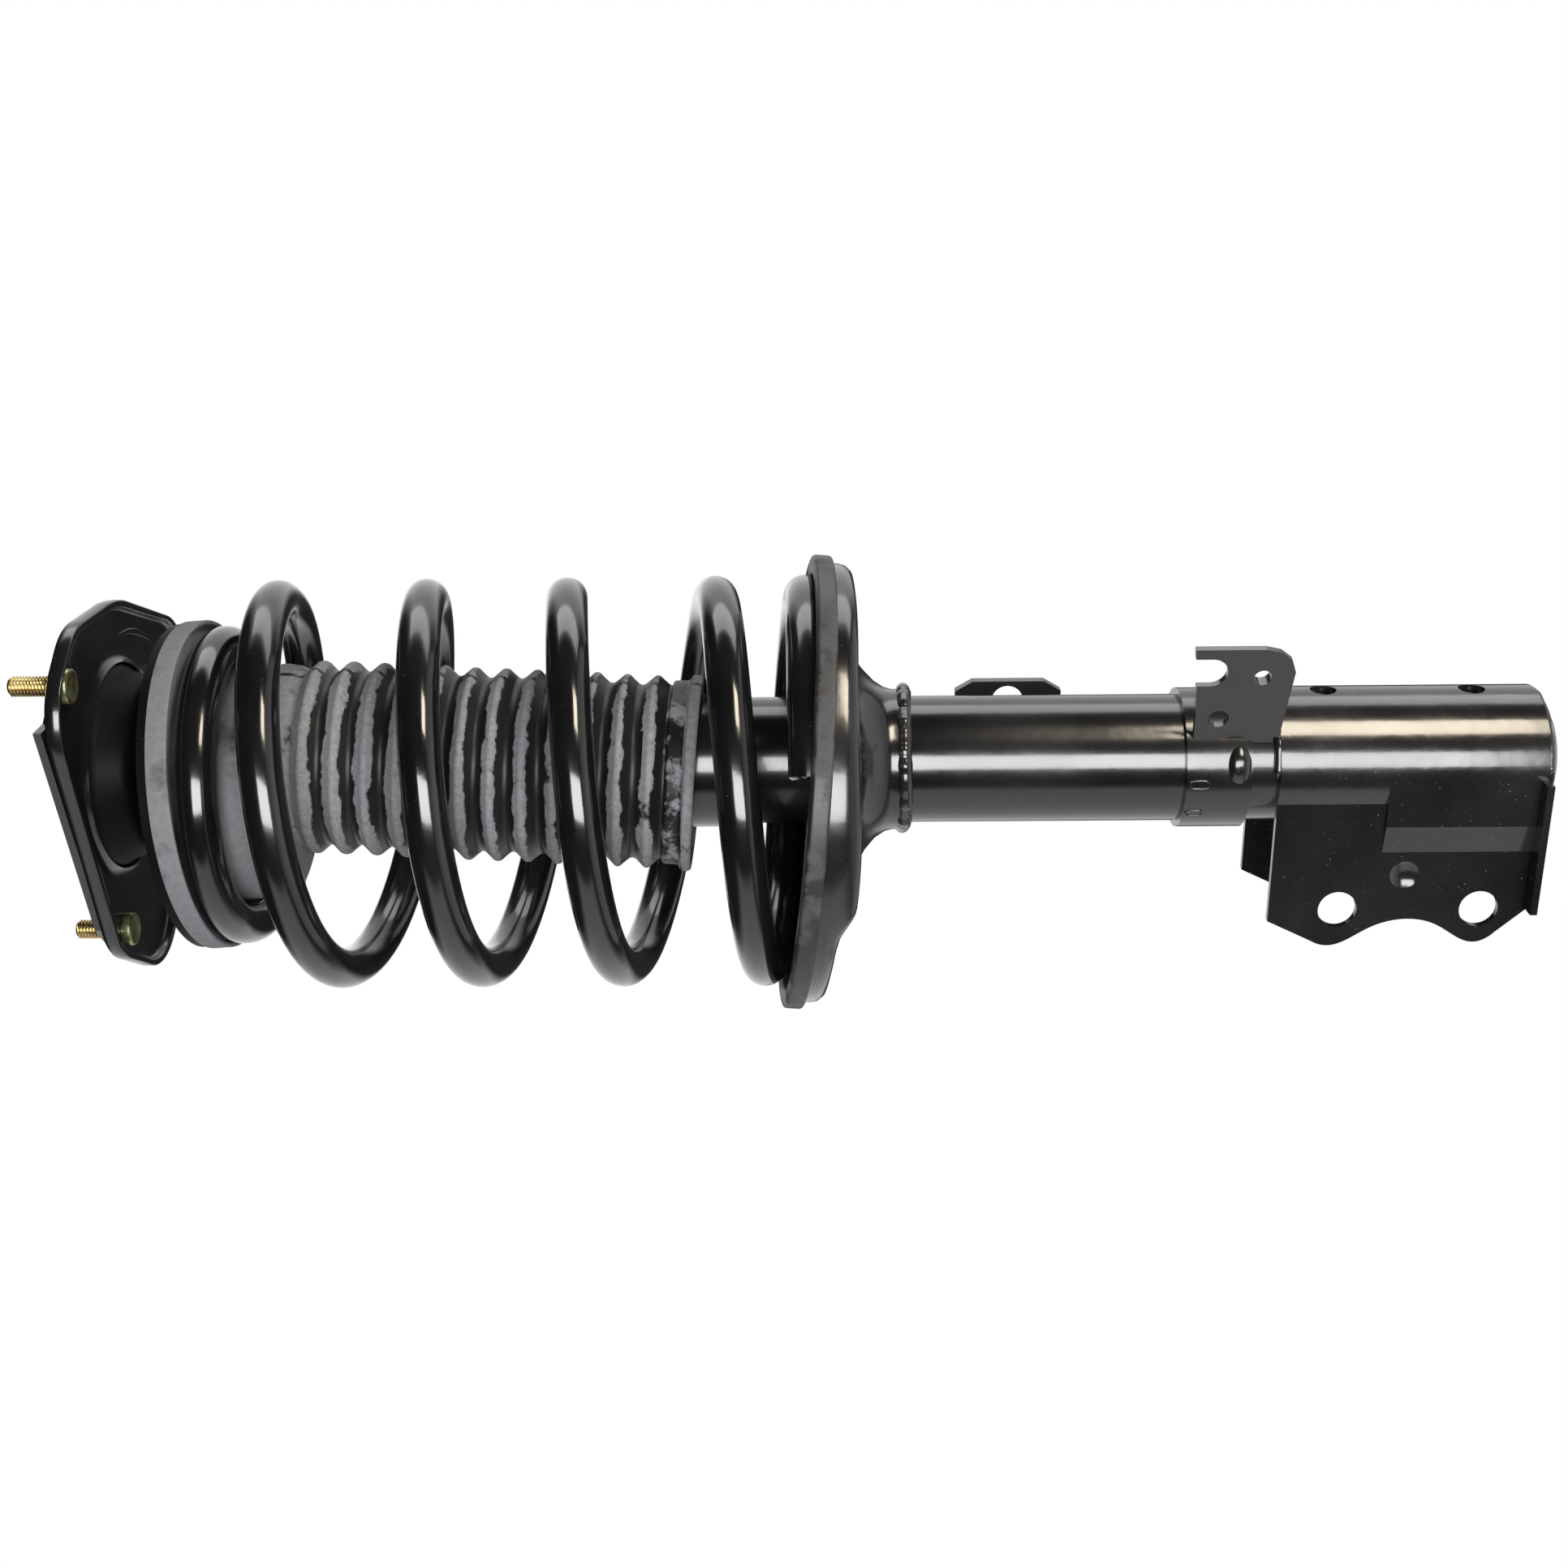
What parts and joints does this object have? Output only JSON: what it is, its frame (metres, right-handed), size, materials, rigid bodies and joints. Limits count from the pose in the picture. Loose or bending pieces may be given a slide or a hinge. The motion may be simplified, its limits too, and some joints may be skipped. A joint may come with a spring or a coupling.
{
  "type": "suspension strut assembly",
  "caption": "Front suspension strut with coil spring, pleated dust boot, studded top mount, steering bearing and a clamp bracket for the wheel knuckle.",
  "frame": {"origin": "on the strut axis, at the top mount's upper seating face", "axes": "+Z along the strut axis towards the car body, +X outboard along the knuckle ears, +Y along the knuckle bolts"},
  "size_m": [0.1839, 0.1842, 0.5945],
  "materials": {
    "black_ecoat": "gloss",
    "spring_paint": "gloss",
    "bloomed_rubber": "matt",
    "black_rubber": "matt",
    "yellow_zinc": "satin",
    "chrome_rod": "polished",
    "bearing_steel": "ground",
    "sintered_iron": "matt",
    "zinc_steel": "satin",
    "bronze_bush": "satin",
    "foam": "matt",
    "weld_bead": "rough"
  },
  "bodies": {
    "upper_mount": {"mount_plate": "black_ecoat", "reinforcement_plate": "black_ecoat", "mount_studs": "yellow_zinc", "mount_cup": "black_ecoat", "mount_rubber": "black_rubber", "bearing_housing": "zinc_steel", "bearing_outer_race": "bearing_steel"},
    "strut_rod": {"bearing_inner_race": "bearing_steel", "bearing_balls": "bearing_steel", "piston_rod": "chrome_rod", "rod_nut": "yellow_zinc", "rod_washer": "zinc_steel", "upper_spring_seat": "black_ecoat", "upper_insulator": "bloomed_rubber", "bump_stop": "foam", "dust_boot": "bloomed_rubber", "coil_spring": "spring_paint", "rebound_stop": "zinc_steel", "piston": "sintered_iron", "piston_shim_upper": "bearing_steel", "piston_shim_lower": "bearing_steel", "piston_nut": "zinc_steel"},
    "strut_tube": {"outer_tube": "black_ecoat", "base_cap": "black_ecoat", "inner_cylinder": "zinc_steel", "base_valve": "sintered_iron", "rod_guide": "sintered_iron", "guide_bush": "bronze_bush", "oil_seal": "black_rubber", "striker_cap": "black_ecoat", "lower_spring_seat": "black_ecoat", "lower_insulator": "black_rubber", "seat_weld": "weld_bead", "stabilizer_link_tab": "black_ecoat", "link_tab_weld": "weld_bead", "hose_band": "black_ecoat", "hose_plate": "black_ecoat", "knuckle_bracket": "black_ecoat", "bracket_weld": "weld_bead"}
  },
  "joints": [
    {"name": "steer_swivel", "type": "hinge", "parent": "upper_mount", "child": "strut_rod", "pos_m": [0, 0, -0.02], "axis": [0, 0, 1], "range_deg": [-40, 40]},
    {"name": "strut_travel", "type": "slide", "parent": "strut_rod", "child": "strut_tube", "axis": [0, 0, 1], "range_m": [0, 0.12], "stiffness_N_per_m": 28000, "deforming": ["coil_spring", "dust_boot"]}
  ]
}
